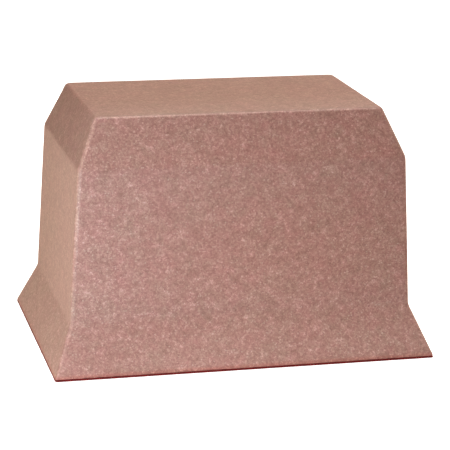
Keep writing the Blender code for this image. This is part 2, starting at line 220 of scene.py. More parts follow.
def new_object(name, shape, material, sharp_angle=SHARP_ANGLE):
    """Turns a bmesh into a shaded object with one material, or with none."""
    bmesh.ops.remove_doubles(shape, verts=shape.verts, dist=MERGE_DISTANCE)
    bmesh.ops.recalc_face_normals(shape, faces=shape.faces)
    mesh = bpy.data.meshes.new(name)
    shape.to_mesh(mesh)
    shape.free()
    if material:
        mesh.materials.append(material)
    mesh.shade_smooth()
    mesh.set_sharp_from_angle(angle=sharp_angle)
    made = bpy.data.objects.new(name, mesh)
    bpy.context.scene.collection.objects.link(made)
    return made


def fillet(before, corner, after, radius, segments):
    """Points of the arc that rounds a corner, which may lie in any plane."""
    to_before = (before - corner).normalized()
    to_after = (after - corner).normalized()
    half_angle = to_before.angle(to_after) / 2
    centre = corner + (to_before + to_after).normalized() * radius / math.sin(half_angle)
    start = corner + to_before * radius / math.tan(half_angle)
    end = corner + to_after * radius / math.tan(half_angle)
    sweep = math.pi - 2 * half_angle
    points = []
    for step in range(segments + 1):
        share = step / segments
        to_start = math.sin((1 - share) * sweep) * (start - centre)
        to_end = math.sin(share * sweep) * (end - centre)
        points.append(centre + (to_start + to_end) / math.sin(sweep))
    return points


def rounded_path(corners, closed=False, segments=6):
    """A path through (point, radius) corners, with each corner that has a radius rounded."""
    count = len(corners)
    path = []
    for index, (corner, radius) in enumerate(corners):
        inner = closed or 0 < index < count - 1
        if radius and inner:
            before = corners[index - 1][0]
            after = corners[(index + 1) % count][0]
            path += fillet(before, corner, after, radius, segments)
        else:
            path.append(corner)
    return path


def divided(path, step):
    """The same path with points added, so that none lie further apart than the step."""
    found = [path[0]]
    for start, end in zip(path, path[1:]):
        parts = max(1, math.ceil((end - start).length / step))
        found += [start.lerp(end, part / parts) for part in range(1, parts + 1)]
    return found


def divided_wall(path, radius, step):
    """A turned path, closed or open, with points added along its straight wall of one radius."""
    found = []
    for start, end in zip(path, path[1:] + path[:1]):
        found.append(start)
        if abs(start.x - radius) < SAME_RADIUS and abs(end.x - radius) < SAME_RADIUS:
            found += divided([start, end], step)[1:-1]
    return found


def rounded_rectangle(half_x, half_y, z, radius, corner_segments, step):
    """Points round a rectangle with rounded corners, with the same count whatever its size."""
    sides = ((1, 1), (-1, 1), (-1, -1), (1, -1))
    parts_along = (round(OUTLINE_X / step), round(OUTLINE_Y / step))

    def on_corner(corner, turns):
        side_x, side_y = sides[corner % 4]
        angle = turns * math.pi / 2
        x = side_x * (half_x - radius) + radius * math.cos(angle)
        y = side_y * (half_y - radius) + radius * math.sin(angle)
        return Vector((x, y, z))

    points = []
    for corner in range(4):
        for index in range(corner_segments + 1):
            points.append(on_corner(corner, corner + index / corner_segments))
        start = points[-1]
        end = on_corner(corner + 1, corner + 1)
        parts = parts_along[corner % 2]
        points += [start.lerp(end, part / parts) for part in range(1, parts)]
    return points


def between(outline, radius, share, z):
    """A loop that lies a share of the way from a circle to an outline, along lines through the middle."""
    points = []
    for point in outline:
        flat = Vector((point.x, point.y, 0))
        found = (flat.normalized() * radius).lerp(flat, share)
        found.z = z
        points.append(found)
    return points


def skin(shape, loops, closed=False):
    """Joins loops of equal length with quads. The ends are capped, or joined to each other if closed."""
    rings = [[shape.verts.new(point) for point in loop] for loop in loops]
    pairs = list(zip(rings, rings[1:]))
    if closed:
        pairs.append((rings[-1], rings[0]))
    else:
        shape.faces.new(rings[0])
        shape.faces.new(rings[-1])
    count = len(rings[0])
    for lower, upper in pairs:
        for index in range(count):
            following = (index + 1) % count
            shape.faces.new((lower[index], lower[following], upper[following], upper[index]))
    return rings


def turned(name, path, material, segments=TURN_SEGMENTS, closed=True, ridge=None, centre=(0, 0)):
    """A body turned about a vertical axis from a path of (radius, 0, z) points.

    A path that isn't closed starts and ends on the axis. ridge(angle, z, radius) gives how far a point is
    pushed outwards.
    """
    shape = bmesh.new()
    loops = []
    for index in range(segments):
        angle = math.tau * index / segments
        loop = []
        for point in path:
            radius = point.x + (ridge(angle, point.z, point.x) if ridge else 0)
            loop.append(Vector((radius * math.cos(angle), radius * math.sin(angle), point.z)))
        loops.append(loop)
    rings = [[shape.verts.new(point) for point in loop] for loop in loops]
    last = len(path) if closed else len(path) - 1
    for index, ring in enumerate(rings):
        other = rings[(index + 1) % segments]
        for step in range(last):
            following = (step + 1) % len(path)
            shape.faces.new((ring[step], ring[following], other[following], other[step]))
    bmesh.ops.remove_doubles(shape, verts=shape.verts, dist=MERGE_DISTANCE)
    bmesh.ops.dissolve_degenerate(shape, edges=shape.edges, dist=MERGE_DISTANCE)
    bmesh.ops.translate(shape, verts=shape.verts, vec=(*centre, 0))
    return new_object(name, shape, material)


def thread(wall_radius, height, start, end, phase, pitch=THREAD_PITCH, foot=RIDGE_FOOT, crest=RIDGE_CREST):
    """How far a helical ridge stands off a round wall, as a function for turned()."""

    def stand(angle, z, radius):
        if abs(radius - wall_radius) > SAME_RADIUS:
            return 0
        turns = ((angle - phase) % math.tau) / math.tau
        nearest = round((z - start) / pitch - turns) + turns
        run = max(0, min(nearest, (end - start) / pitch - nearest) + RUN_OUT_TURNS)
        fade = min(1, run / RUN_OUT_TURNS)
        off = abs(z - start - nearest * pitch)
        flank = (foot / 2 - off) / ((foot - crest) / 2)
        share = max(0, min(1, flank))
        return height * fade * share * share * (3 - 2 * share)

    return stand


def combine(obj, other, operation):
    """Joins or cuts with another object, applies it, and removes the other object."""
    modifier = obj.modifiers.new("combine", "BOOLEAN")
    modifier.operation = operation
    modifier.solver = "EXACT"
    modifier.object = other
    depsgraph = bpy.context.evaluated_depsgraph_get()
    evaluated = obj.evaluated_get(depsgraph)
    mesh = bpy.data.meshes.new_from_object(evaluated)
    obj.modifiers.clear()
    obj.data = mesh
    bpy.data.objects.remove(other)
    mesh.shade_smooth()
    mesh.set_sharp_from_angle(angle=SHARP_ANGLE)


def even_shading(obj):
    """Keeps flat faces flat in the shading where they meet small roundings."""
    modifier = obj.modifiers.new("even shading", "WEIGHTED_NORMAL")
    modifier.keep_sharp = True


def stands_for(piece, body, node):
    """Rides a piece on a body, in place of a CAD node, which it hides."""
    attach(piece, body)
    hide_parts(node)


# ---------------------------------------------------------------- materials


class Nodes:
    """A short way to write a material's node tree."""

    def __init__(self, name):
        self.material = bpy.data.materials.new(name)
        self.material.use_nodes = True
        self.tree = self.material.node_tree
        self.shader = self.tree.nodes["Principled BSDF"]
        self.place = self.node("ShaderNodeTexCoord").outputs["Object"]

    def node(self, kind, **settings):
        made = self.tree.nodes.new(kind)
        for key, value in settings.items():
            setattr(made, key, value)
        return made

    def link(self, source, target):
        self.tree.links.new(source, target)

    def fill(self, socket, value):
        """Links an output to a socket, or sets a plain value on it."""
        if isinstance(value, bpy.types.NodeSocket):
            self.link(value, socket)
        elif isinstance(value, tuple) and len(value) == 3:
            socket.default_value = (*value, 1.0) if len(socket.default_value) == 4 else value
        else:
            socket.default_value = value

    def noise(self, size, detail=2.0, roughness=0.5, distortion=0.0, stretch=None):
        """Noise whose features are about as large as size, from 0 to 1."""
        made = self.node("ShaderNodeTexNoise")
        made.inputs["Scale"].default_value = 1 / size
        made.inputs["Detail"].default_value = detail
        made.inputs["Roughness"].default_value = roughness
        made.inputs["Distortion"].default_value = distortion
        self.link(self.stretched(stretch) if stretch else self.place, made.inputs["Vector"])
        return made.outputs["Fac"]

    def stretched(self, factors):
        """Coordinates multiplied axis by axis. A small factor stretches a pattern along its axis."""
        made = self.node("ShaderNodeVectorMath", operation="MULTIPLY")
        self.link(self.place, made.inputs[0])
        made.inputs[1].default_value = factors
        return made.outputs[0]

    def cells(self, size, offset=(0.0, 0.0, 0.0)):
        """Cells about as large as size: (distance to the cell's middle, three random numbers of the cell)."""
        moved = self.node("ShaderNodeVectorMath", operation="ADD")
        self.link(self.place, moved.inputs[0])
        moved.inputs[1].default_value = offset
        made = self.node("ShaderNodeTexVoronoi")
        made.inputs["Scale"].default_value = 1 / size
        self.link(moved.outputs[0], made.inputs["Vector"])
        split = self.node("ShaderNodeSeparateColor")
        self.link(made.outputs["Color"], split.inputs[0])
        return made.outputs["Distance"], split.outputs

    def height(self):
        """The height above the object's origin."""
        split = self.node("ShaderNodeSeparateXYZ")
        self.link(self.place, split.inputs[0])
        return split.outputs["Z"]

    def ramp(self, factor, stops):
        """A colour for each value of a factor. Stops are (place, colour) pairs."""
        made = self.node("ShaderNodeValToRGB")
        elements = made.color_ramp.elements
        while len(elements) < len(stops):
            elements.new(0.5)
        for element, (place, colour) in zip(elements, stops):
            element.position = place
            element.color = (*colour, 1.0)
        self.link(factor, made.inputs["Fac"])
        return made.outputs["Color"]

    def mix(self, factor, low, high, kind="MIX"):
        made = self.node("ShaderNodeMix", data_type="RGBA", blend_type=kind)
        made.clamp_factor = True
        self.fill(made.inputs[0], factor)
        self.fill(made.inputs[6], low)
        self.fill(made.inputs[7], high)
        return made.outputs[2]

    def span(self, value, low, high, to_low=0.0, to_high=1.0, smooth=False):
        """Maps a value's range onto another, without going past it."""
        made = self.node("ShaderNodeMapRange")
        made.interpolation_type = "SMOOTHSTEP" if smooth else "LINEAR"
        self.fill(made.inputs["Value"], value)
        for key, number in zip(("From Min", "From Max", "To Min", "To Max"), (low, high, to_low, to_high)):
            made.inputs[key].default_value = number
        return made.outputs["Result"]

    def math(self, operation, first, second):
        made = self.node("ShaderNodeMath", operation=operation)
        self.fill(made.inputs[0], first)
        self.fill(made.inputs[1], second)
        return made.outputs[0]

    def bump(self, height, depth, normal=None):
        """A normal from a height of 0 to 1, which stands for a depth in metres."""
        made = self.node("ShaderNodeBump")
        made.inputs["Strength"].default_value = 1.0
        made.inputs["Distance"].default_value = depth
        self.link(height, made.inputs["Height"])
        if normal:
            self.link(normal, made.inputs["Normal"])
        return made.outputs["Normal"]

    def finish(self, **values):
        """Fills the shader's sockets, named with underscores for spaces."""
        for key, value in values.items():
            self.fill(self.shader.inputs[key.replace("_", " ").title().replace("Ior", "IOR")], value)
        return self.material


def polished_stone():
    """Pink resin-bound stone under a clear polished skin: grains, pale curls, sparse pale dots painted in as
    glints, and soft clouds.

    A red cast of light and shade from the felt below is painted on the lowest few millimetres.
    """
    n = Nodes("polished cast stone")
    clouds = n.noise(30 * MM, detail=1.0)
    patches = n.noise(8 * MM, detail=3.0, roughness=0.6, distortion=0.5)
    lumps = n.noise(6.5 * MM, detail=1.0)
    clumps = n.noise(2.6 * MM, detail=1.0)
    grain = n.cells(1.2 * MM)[1]
    powder = n.cells(0.6 * MM, offset=(0.31, 0.17, 0.05))[1]
    curls = n.noise(1.5 * MM, detail=1.0, distortion=2.2)
    # Sparse pale dots: painted glints of the stone's sparkle
    glint_edge, glint_pick = n.cells(1.5 * MM, offset=(0.07, 0.23, 0.41))

    tone = n.math("MULTIPLY", lumps, 0.30)
    tone = n.math("ADD", tone, n.math("MULTIPLY", clumps, 0.34))
    tone = n.math("ADD", tone, n.math("MULTIPLY", grain[0], 0.30))
    tone = n.math("ADD", tone, n.math("MULTIPLY", powder[1], 0.24))
    colour = n.ramp(n.span(tone, 0.29, 0.89), (
        (0.00, (0.262, 0.115, 0.100)),
        (0.50, (0.375, 0.182, 0.160)),
        (0.80, (0.455, 0.238, 0.211)),
        (1.00, (0.590, 0.350, 0.318)),
    ))
    colour = n.mix(n.span(curls, 0.66, 0.74, 0.0, 0.38), colour, (0.610, 0.430, 0.390))
    painted_glint = n.math("MULTIPLY", n.span(glint_edge, 0.1, 0.5, 0.40, 0.0), n.span(glint_pick[2], 0.80, 0.92))
    colour = n.mix(painted_glint, colour, (0.740, 0.560, 0.510))
    hue = n.ramp(patches, (
        (0.30, (1.030, 0.955, 0.975)),
        (0.70, (0.970, 1.045, 0.995)),
    ))
    colour = n.mix(1.0, colour, hue, "MULTIPLY")
    broad_hue = n.ramp(clouds, (
        (0.30, (1.008, 0.988, 0.992)),
        (0.70, (0.992, 1.012, 1.000)),
    ))
    colour = n.mix(1.0, colour, broad_hue, "MULTIPLY")
    # Painted red light and shade from the felt: the lowest few millimetres are tinted red, fading out upwards
    felt_glow_share = n.span(n.height(), FELT_TOP, FELT_TOP + FELT_GLOW_HEIGHT, 1.0, 0.0, smooth=True)
    felt_glow_tinted = n.mix(1.0, colour, FELT_GLOW_COLOUR, "MULTIPLY")
    colour = n.mix(felt_glow_share, colour, felt_glow_tinted)

    ripple = n.noise(14 * MM, detail=1.0)
    pores = n.noise(1.4 * MM, detail=2.0)
    normal = n.bump(pores, 0.002 * MM, n.bump(ripple, 0.015 * MM))
    return n.finish(
        base_color=colour,
        roughness=n.span(patches, 0.3, 0.7, 0.39, 0.43),
        normal=normal,
        ior=1.55,
        coat_weight=0.10,
        coat_roughness=0.28,
    )


def raw_stone():
    """The same cast stone as it comes from the mould, unpolished, with trowel marks and pinholes, whose
    insides are painted dark as shade.
    """
    n = Nodes("raw cast stone")
    clouds = n.noise(18 * MM, detail=4.0, roughness=0.6)
    grain = n.cells(1.3 * MM)[1]
    pit_edge, pit = n.cells(4.5 * MM, offset=(0.2, 0.1, 0.4))
    body = n.ramp(grain[0], (
        (0.00, (0.290, 0.165, 0.140)),
        (0.50, (0.420, 0.270, 0.230)),
        (0.90, (0.520, 0.380, 0.330)),
        (1.00, (0.700, 0.600, 0.540)),
    ))
    colour = n.mix(n.span(clouds, 0.3, 0.7, 0.0, 0.5), body, (0.500, 0.400, 0.350))
    hole = n.math("LESS_THAN", pit_edge, n.span(pit[0], 0.6, 1.0, 0.0, 0.16))
    # The pinholes are painted dark inside: painted shade in the pits
    colour = n.mix(hole, colour, (0.200, 0.120, 0.100))
    marks = n.noise(6 * MM, detail=3.0, stretch=(0.15, 1.0, 1.0))
    height = n.math("SUBTRACT", marks, hole)
    roughness = n.span(clouds, 0.3, 0.7, 0.62, 0.82)
    return n.finish(base_color=colour, roughness=roughness, normal=n.bump(height, 0.25 * MM))


def felt():
    """Pressed wool felt, dyed dark red: matted fibres, lint and uneven dye."""
    n = Nodes("dark red felt")
    dye = n.noise(30 * MM, detail=3.0)
    matted = n.noise(2.4 * MM, detail=4.0, roughness=0.7, distortion=1.5)
    fibre = n.noise(0.5 * MM, detail=3.0, roughness=0.7, distortion=2.5)
    lint_edge, lint = n.cells(5.0 * MM)
    colour = n.ramp(fibre, (
        (0.30, (0.070, 0.002, 0.003)),
        (0.55, (0.190, 0.006, 0.007)),
        (0.80, (0.380, 0.030, 0.030)),
    ))
    colour = n.mix(n.span(matted, 0.35, 0.7, 0.0, 0.45), colour, (0.120, 0.006, 0.008))
    colour = n.mix(n.span(dye, 0.35, 0.7, 0.0, 0.25), colour, (0.230, 0.020, 0.020))
    speck = n.math("LESS_THAN", lint_edge, n.span(lint[1], 0.82, 1.0, 0.0, 0.08))
    colour = n.mix(n.math("MULTIPLY", speck, 0.5), colour, (0.450, 0.300, 0.280))
    height = n.math("ADD", n.math("MULTIPLY", matted, 0.6), n.math("MULTIPLY", fibre, 0.4))
    return n.finish(
        base_color=colour,
        roughness=n.span(fibre, 0.3, 0.7, 0.86, 1.0),
        normal=n.bump(height, 0.6 * MM),
        sheen_weight=0.3,
        sheen_roughness=0.45,
        sheen_tint=(0.75, 0.20, 0.20),
    )


def moulded_plastic(name, dark, light, grain_depth, roughness):
    """Black moulded plastic: a fine spark-eroded grain, faint flow marks, and rubbed patches."""
    n = Nodes(name)
    flow = n.noise(22 * MM, detail=2.0, distortion=0.8)
    rubbed = n.noise(7 * MM, detail=4.0, roughness=0.65)
    grain = n.noise(0.45 * MM, detail=2.0)
    colour = n.mix(n.span(flow, 0.3, 0.7), dark, light)
    colour = n.mix(n.span(rubbed, 0.58, 0.75, 0.0, 0.35), colour, (0.090, 0.086, 0.084))
    worn = n.span(rubbed, 0.55, 0.75, roughness, roughness - 0.12)
    return n.finish(base_color=colour, roughness=worn, normal=n.bump(grain, grain_depth), ior=1.49)


def seal_rubber():
    """Black rubber with a bloom and a fine moulded texture."""
    n = Nodes("seal rubber")
    bloom = n.noise(5 * MM, detail=4.0, roughness=0.6)
    skin_grain = n.noise(0.3 * MM, detail=2.0)
    colour = n.ramp(bloom, (
        (0.35, (0.014, 0.014, 0.015)),
        (0.60, (0.024, 0.024, 0.025)),
        (0.80, (0.060, 0.059, 0.058)),
    ))
    return n.finish(
        base_color=colour,
        roughness=n.span(bloom, 0.35, 0.75, 0.50, 0.72),
        normal=n.bump(skin_grain, 0.02 * MM),
    )


def sealant():
    """Cured off-white sealant, tooled by hand: soft lumps, trapped dust and a slight shine."""
    n = Nodes("cured sealant")
    lumps = n.noise(6 * MM, detail=3.0)
    dust = n.noise(0.8 * MM, detail=3.0, roughness=0.7)
    colour = n.ramp(dust, (
        (0.30, (0.560, 0.500, 0.450)),
        (0.50, (0.690, 0.650, 0.600)),
        (0.75, (0.760, 0.730, 0.690)),
    ))
    return n.finish(
        base_color=colour,
        roughness=n.span(lumps, 0.3, 0.7, 0.32, 0.5),
        normal=n.bump(lumps, 0.3 * MM),
        subsurface_weight=0.15,
        subsurface_radius=(1.0 * MM, 0.8 * MM, 0.6 * MM),
    )


def screw_steel():
    """Zinc-plated steel: a turned grain, a faint yellow cast and small scuffs."""
    n = Nodes("zinc plated steel")
    tarnish = n.noise(1.6 * MM, detail=3.0)
    grain = n.noise(0.25 * MM, detail=3.0, stretch=(1.0, 1.0, 6.0))
    colour = n.ramp(tarnish, (
        (0.30, (0.560, 0.545, 0.500)),
        (0.55, (0.640, 0.635, 0.610)),
        (0.80, (0.700, 0.695, 0.680)),
    ))
    return n.finish(
        base_color=colour,
        metallic=1.0,
        roughness=n.span(grain, 0.3, 0.7, 0.24, 0.42),
        normal=n.bump(grain, 0.008 * MM),
    )


# ---------------------------------------------------------------- pieces


def path_points(triples):
    """Corners of a turned path from (radius, z, rounding) triples."""
    return [(Vector((radius, 0, z)), rounding) for radius, z, rounding in triples]


def space_points(corners):
    """Corners of a path in space from (x, y, z, rounding)."""
    return [(Vector(corner[:3]), corner[3]) for corner in corners]


def stone_shell(material):
    """The hollow shell: fine fillets and slightly wandering cast faces outside, and the chamber inside.

    It is one skin: from the middle of the top, down the outside, under the rim, and up the chamber to its
    ceiling.
    """
    low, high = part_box("urn_body")
    rim, top = low.z, high.z
    ledge = rim + LEDGE_DEPTH
    half_x, half_y = OUTLINE_X / 2, OUTLINE_Y / 2
    hip_lean = (TOP_INSET - SHOULDER_INSET) / (top - SHOULDER_HEIGHT)
    chamber_top = top - WALL
    hip_inset = SHOULDER_INSET + hip_lean * (chamber_top - SHOULDER_HEIGHT) + WALL * math.hypot(1, hip_lean)
    below = (FLARE_HEIGHT - ledge) / (SHOULDER_HEIGHT - FLARE_HEIGHT)
    chamber_x = half_x - FLARE_INSET_X - WALL + (SHOULDER_INSET - FLARE_INSET_X) * below
    chamber_y = half_y - FLARE_INSET_Y - WALL + (SHOULDER_INSET - FLARE_INSET_Y) * below
    pocket_x, pocket_y = chamber_x + LEDGE_WIDTH, chamber_y + LEDGE_WIDTH
    flat = half_y - TOP_INSET - CAP_HALF_WIDTH

    outside = (
        (half_x - TOP_INSET - flat, half_y - TOP_INSET - flat, top, 0),
        (half_x - TOP_INSET, half_y - TOP_INSET, top, TOP_EDGE_RADIUS),
        (half_x - SHOULDER_INSET, half_y - SHOULDER_INSET, SHOULDER_HEIGHT, SHOULDER_RADIUS),
        (half_x - FLARE_INSET_X, half_y - FLARE_INSET_Y, FLARE_HEIGHT, FLARE_RADIUS),
        (half_x, half_y, rim, BASE_EDGE_RADIUS),
        (pocket_x, pocket_y, rim, 0),
    )
    inside = (
        (pocket_x, pocket_y, ledge, 0),
        (chamber_x, chamber_y, ledge, 0),
        (half_x - SHOULDER_INSET - WALL, half_y - SHOULDER_INSET - WALL, SHOULDER_HEIGHT,
         CHAMBER_TOP_RADIUS),
        (half_x - hip_inset, half_y - hip_inset, chamber_top, CHAMBER_TOP_RADIUS),
        (half_x - hip_inset - flat / 2, half_y - hip_inset - flat / 2, chamber_top, 0),
    )
    path = divided(rounded_path(space_points(outside), segments=STONE_BEND_SEGMENTS), STONE_STEP)
    loops = []
    for level in path:
        share = min(1, (level.z - rim) / (FLARE_HEIGHT - rim))
        radius = BASE_CORNER_RADIUS + (CORNER_RADIUS - BASE_CORNER_RADIUS) * share
        if level.z == rim and level.y < half_y - RIM_MARGIN:
            radius = POCKET_CORNER_RADIUS
        loops.append(rounded_rectangle(*level, radius, STONE_CORNER_SEGMENTS, STONE_STEP))
    outer_count = len(loops)
    for index, level in enumerate(rounded_path(space_points(inside), segments=CHAMBER_BEND_SEGMENTS)):
        radius = POCKET_CORNER_RADIUS if index == 0 else CHAMBER_CORNER_RADIUS
        loops.append(rounded_rectangle(*level, radius, STONE_CORNER_SEGMENTS, STONE_STEP))
    shape = bmesh.new()
    rings = skin(shape, loops)
    shape.normal_update()
    for ring in rings[:outer_count]:
        for vertex in ring:
            if vertex.co.z > rim + STILL_HEIGHT:
                wander = noise.noise(vertex.co / STONE_WAVE_LENGTH) - 1
                middle = Vector((0, 0, vertex.co.z if vertex.co.z < top - MM else 0))
                inward = (middle - vertex.co).normalized()
                vertex.co -= inward * wander * STONE_WAVE / 2
    body = new_object("stone_shell", shape, material, sharp_angle=STONE_SHARP_ANGLE)
    even_shading(body)
    stands_for(body, "urn", "urn_body")


def screw_middles():
    """The place of each collar screw, from the CAD nodes."""
    for side in SCREW_SIDES:
        low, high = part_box(f"collar_screw_{side}")
        yield side, (low.x + high.x) / 2, (low.y + high.y) / 2


def cut_screw_holes(obj, levels):
    """Cuts a hole for each screw. The levels are (radius, z) down the hole's wall."""
    path = [Vector((0, 0, levels[0][1]))]
    path += [Vector((radius, 0, z)) for radius, z in levels]
    path.append(Vector((0, 0, levels[-1][1])))
    for _, x, y in screw_middles():
        cutter = turned("screw_hole", path, None, segments=SCREW_SEGMENTS, closed=False, centre=(x, y))
        combine(obj, cutter, "DIFFERENCE")


def plate_slab(material):
    """The cast slab: a hand-levelled underside, rounded edges and a stepped hole with a chamfered mouth."""
    low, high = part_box("base_plate")
    gasket_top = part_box("collar_gasket")[1].z
    wide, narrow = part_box("closure_collar")[1].x + GAP, BARREL_RADIUS + GAP
    step_z = gasket_top + GAP
    mouth = wide + PLATE_CHAMFER
    edge = space_points((
        (high.x / 2, high.y / 2, low.z, 0),
        (high.x, high.y, low.z, PLATE_EDGE_RADIUS),
        (high.x, high.y, high.z, PLATE_EDGE_RADIUS),
        (high.x / 2, high.y / 2, high.z, 0),
    ))
    rim = rounded_path(edge, segments=4)[1:-1]
    outer = [
        rounded_rectangle(*level, PLATE_CORNER_RADIUS, STONE_CORNER_SEGMENTS, STONE_STEP) for level in rim
    ]
    shares = [index / PLATE_RINGS for index in range(PLATE_RINGS)]
    loops = [between(outer[0], mouth, share, low.z) for share in shares]
    loops += outer
    loops += [between(outer[-1], narrow, share, high.z) for share in reversed(shares)]
    loops.append(between(outer[0], narrow, 0, step_z))
    loops.append(between(outer[0], wide, 0, step_z))
    loops.append(between(outer[0], wide, 0, low.z + PLATE_CHAMFER))
    shape = bmesh.new()
    rings = skin(shape, loops, closed=True)
    for ring in rings[1:len(shares)]:
        for vertex in ring:
            vertex.co.z += PLATE_WAVE * (1 + noise.noise(vertex.co / STONE_WAVE_LENGTH)) / 2
    slab = new_object("plate_slab", shape, material)
    pilot_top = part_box("collar_screw_front_left")[1].z + GAP
    cut_screw_holes(slab, [(SCREW_HOLE_RADIUS, gasket_top), (SCREW_HOLE_RADIUS, pilot_top)])
    stands_for(slab, "urn", "base_plate")


def sealant_ring(material):
    """The bead of sealant: a narrow ring with rounded shoulders and a lower face that was tooled by hand."""
    low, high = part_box("sealant_bead")
    inner_x, inner_y = high.x - SEALANT_WIDTH, high.y - SEALANT_WIDTH
    corners = [(x, z, SEALANT_EDGE_RADIUS) for x, z in (
        (0, low.z), (SEALANT_WIDTH, low.z), (SEALANT_WIDTH, high.z), (0, high.z),
    )]
    section = rounded_path(path_points(corners), closed=True, segments=4)
    loops = []
    for point in section:
        radius = SEALANT_CORNER_RADIUS + point.x
        loops.append(rounded_rectangle(
            inner_x + point.x, inner_y + point.x, point.z, radius, STONE_CORNER_SEGMENTS, FELT_STEP,
        ))
    shape = bmesh.new()
    for ring in skin(shape, loops, closed=True):
        for vertex in ring:
            if vertex.co.z < low.z + SEALANT_EDGE_RADIUS:
                vertex.co.z += SEALANT_WAVE * (1 + noise.noise(vertex.co / SEALANT_WAVE_LENGTH)) / 2
    bead = new_object("sealant_ring", shape, material)
    stands_for(bead, "urn", "sealant_bead")


def groove(radius, z):
    """Corners of a shallow groove in a face that looks down, as part of a turned path."""
    mouth = GROOVE_WIDTH / 2
    floor = mouth * GROOVE_FLOOR_SHARE
    return [
        (radius - mouth, z, GROOVE_EDGE_RADIUS),
        (radius - floor, z + GROOVE_DEPTH, GROOVE_EDGE_RADIUS),
        (radius + floor, z + GROOVE_DEPTH, GROOVE_EDGE_RADIUS),
        (radius + mouth, z, GROOVE_EDGE_RADIUS),
    ]


def threaded_collar(material):
    """The moulded collar: a grooved flange, a seat for the ring, a rounded thread and four countersinks."""
    low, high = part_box("closure_collar")
    flange_top, seat = low.z + FLANGE_THICKNESS, low.z + SEAT_DEPTH
    corners = [(SEAT_RADIUS, low.z, 0.4 * MM)]
    corners += groove(COLLAR_GROOVE_RADIUS, low.z)
    corners += [
        (high.x, low.z, 0.6 * MM),
        (high.x, flange_top, 0.3 * MM),
        (BARREL_RADIUS, flange_top, 0.3 * MM),
        (BARREL_RADIUS, high.z, 0.6 * MM),
        (BORE_RADIUS, high.z, 0.6 * MM),
        (BORE_RADIUS, seat, 0.3 * MM),
        (SEAT_RADIUS, seat, 0.2 * MM),
    ]
    path = divided_wall(rounded_path(path_points(corners), closed=True, segments=4), BORE_RADIUS, THREAD_STEP)
    ridge = thread(BORE_RADIUS, -BORE_RIDGE_HEIGHT, THREAD_START, COLLAR_THREAD_END, math.pi)
    collar = turned("threaded_collar", path, material, ridge=ridge)
    head = SCREW_HEAD_RADIUS + GAP + SCREW_SINK_CLEARANCE
    sink = low.z + SCREW_HEAD_HEIGHT + GAP
    cut_screw_holes(collar, [
        (head, low.z - MM),
        (head, low.z + SCREW_SINK_LIP),
        (SCREW_HOLE_RADIUS, sink),
        (SCREW_HOLE_RADIUS, flange_top + MM),
    ])
    even_shading(collar)
    stands_for(collar, "urn", "closure_collar")


def flange_gasket(material):
    """The flat rubber ring between flange and plate, with slightly rounded edges and holes for the screws."""
    low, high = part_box("collar_gasket")
    inner = BARREL_RADIUS + GAP
    corners = [(radius, z, GASKET_EDGE_RADIUS) for radius, z in (
        (inner, low.z), (high.x, low.z), (high.x, high.z), (inner, high.z),
    )]
    path = rounded_path(path_points(corners), closed=True, segments=4)
    gasket = turned("flange_gasket", path, material)
    cut_screw_holes(gasket, [(SCREW_HOLE_RADIUS, low.z - MM), (SCREW_HOLE_RADIUS, high.z + MM)])
    stands_for(gasket, "urn", "collar_gasket")


def cross_cutter(x, y, z, turn):
    """A tapered cross that cuts a screw's drive recess, turned by an angle."""
    loops = []
    for height, scale in ((z - MM, CROSS_OUTSIDE_SCALE), (z, 1.0), (z + CROSS_DEPTH, CROSS_BOTTOM_SCALE)):
        reach, half = CROSS_REACH * scale, CROSS_HALF_WIDTH * scale
        arm = [Vector((reach, -half, 0)), Vector((reach, half, 0)), Vector((half, half, 0))]
        loop = []
        for quarter in range(4):
            spin = Matrix.Rotation(turn + quarter * math.pi / 2, 3, "Z")
            loop += [spin @ point + Vector((x, y, height)) for point in arm]
        loops.append(loop)
    shape = bmesh.new()
    skin(shape, loops)
    return new_object("cross_recess", shape, None)


def collar_screws(material):
    """Four countersunk screws with a threaded shank and a cross recess, each stopped at its own angle."""
    for index, (side, x, y) in enumerate(screw_middles()):
        low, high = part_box(f"collar_screw_{side}")
        shank_start, shank_end = low.z + SCREW_HEAD_HEIGHT, high.z - SCREW_TIP_LENGTH
        corners = [
            (0, low.z, 0),
            (SCREW_HEAD_RADIUS, low.z, SCREW_HEAD_EDGE_RADIUS),
            (SCREW_CORE_RADIUS, shank_start, 0.4 * MM),
            (SCREW_CORE_RADIUS, shank_end, 0.5 * MM),
            (0, high.z, 0),
        ]
        path = rounded_path(path_points(corners), segments=3)
        path = divided_wall(path, SCREW_CORE_RADIUS, SCREW_THREAD_STEP)
        ridge = thread(
            SCREW_CORE_RADIUS, SCREW_THREAD_HEIGHT, shank_start + SCREW_THREAD_RUN_IN, shank_end, 0,
            pitch=SCREW_THREAD_PITCH, foot=SCREW_THREAD_FOOT, crest=SCREW_THREAD_CREST,
        )
        screw = turned(
            f"cross_screw_{side}", path, material,
            segments=SCREW_SEGMENTS, closed=False, ridge=ridge, centre=(x, y),
        )
        turn = SCREW_FIRST_TURN + SCREW_NEXT_TURN * index
        combine(screw, cross_cutter(x, y, low.z, turn), "DIFFERENCE")
        even_shading(screw)
        stands_for(screw, "urn", f"collar_screw_{side}")


def grip_bar(low_z, high_z):
    """The bar across the plug's dish, with rounded lower edges and ribbed sides."""
    reach = DISH_RADIUS + GRIP_ROOT
    steps = round(2 * reach / (GRIP_RIB_PITCH / GRIP_RIB_STEPS))
    loops = []
    for index in range(steps + 1):
        x = -reach + 2 * reach * index / steps
        rib = (1 - math.cos(math.tau * x / GRIP_RIB_PITCH)) / 2 if abs(x) < GRIP_RIBBED_REACH else 0
        half = GRIP_HALF_WIDTH - GRIP_RIB_DEPTH * rib
        section = space_points((
            (x, -half, high_z, 0),
            (x, -half, low_z, GRIP_EDGE_RADIUS),
            (x, half, low_z, GRIP_EDGE_RADIUS),
            (x, half, high_z, 0),
        ))
        loops.append(rounded_path(section, segments=5))
    shape = bmesh.new()
    skin(shape, loops)
    return new_object("grip_bar", shape, None)


